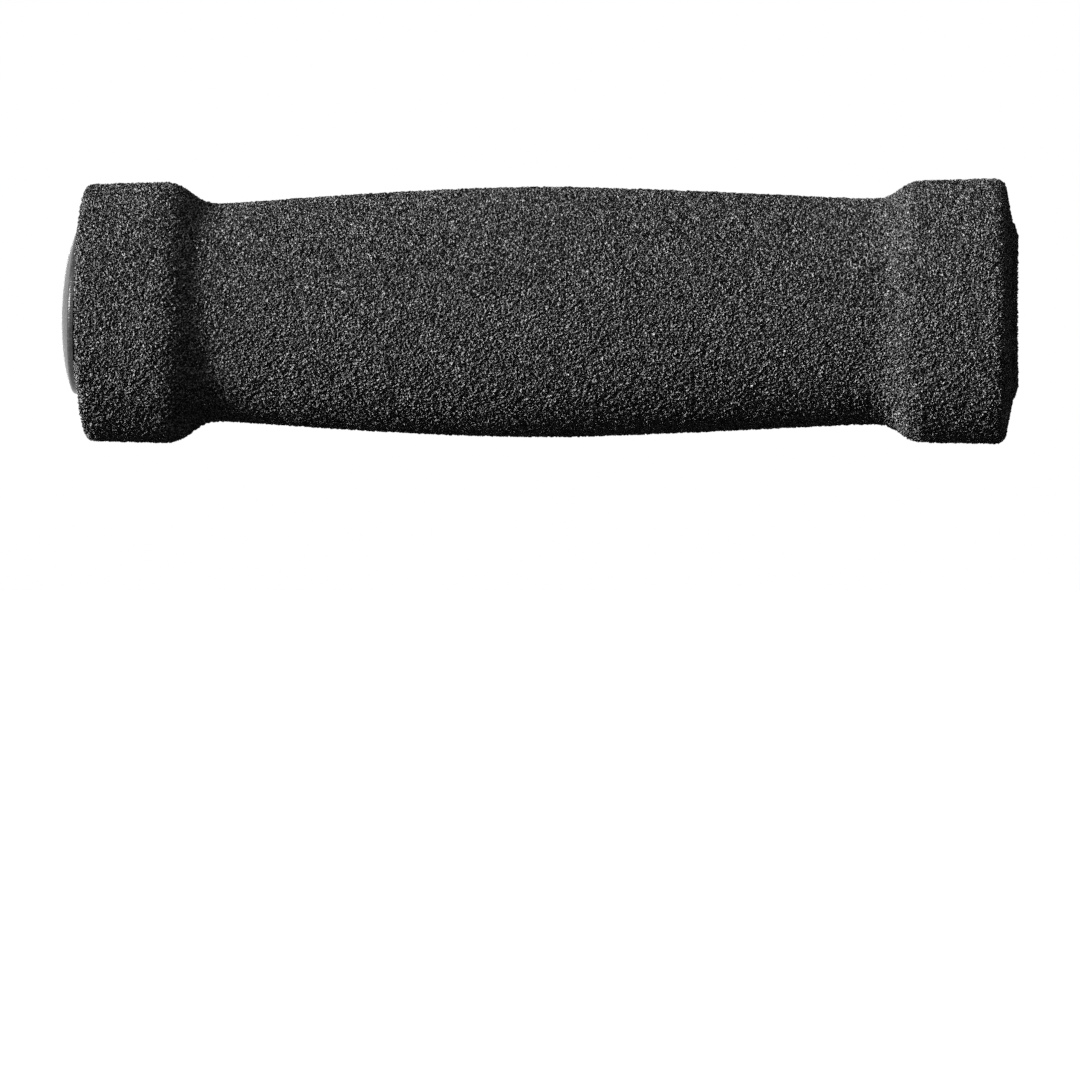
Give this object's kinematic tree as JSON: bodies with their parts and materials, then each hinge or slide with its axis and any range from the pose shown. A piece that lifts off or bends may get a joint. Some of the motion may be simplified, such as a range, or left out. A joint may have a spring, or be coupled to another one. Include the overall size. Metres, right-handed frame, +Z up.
{
  "type": "handlebar grip",
  "caption": "Flanged foam handlebar grip with a barrel-shaped hand section, a through bore and a domed plug in its outboard end.",
  "frame": {"origin": "on the bore's axis, in the plane of the sleeve's outboard end, where the handlebar's end stops", "axes": "+X along the bore towards the inboard end, the way the handlebar leaves; the plug is at -X; +Z up"},
  "size_m": [0.1333, 0.0368, 0.0368],
  "materials": {
    "black_foam": "matt foam with a fine open grain",
    "black_plastic": "finely textured satin moulding"
  },
  "bodies": {
    "root": {"foam_sleeve": "black_foam", "end_plug": "black_plastic"}
  },
  "joints": []
}
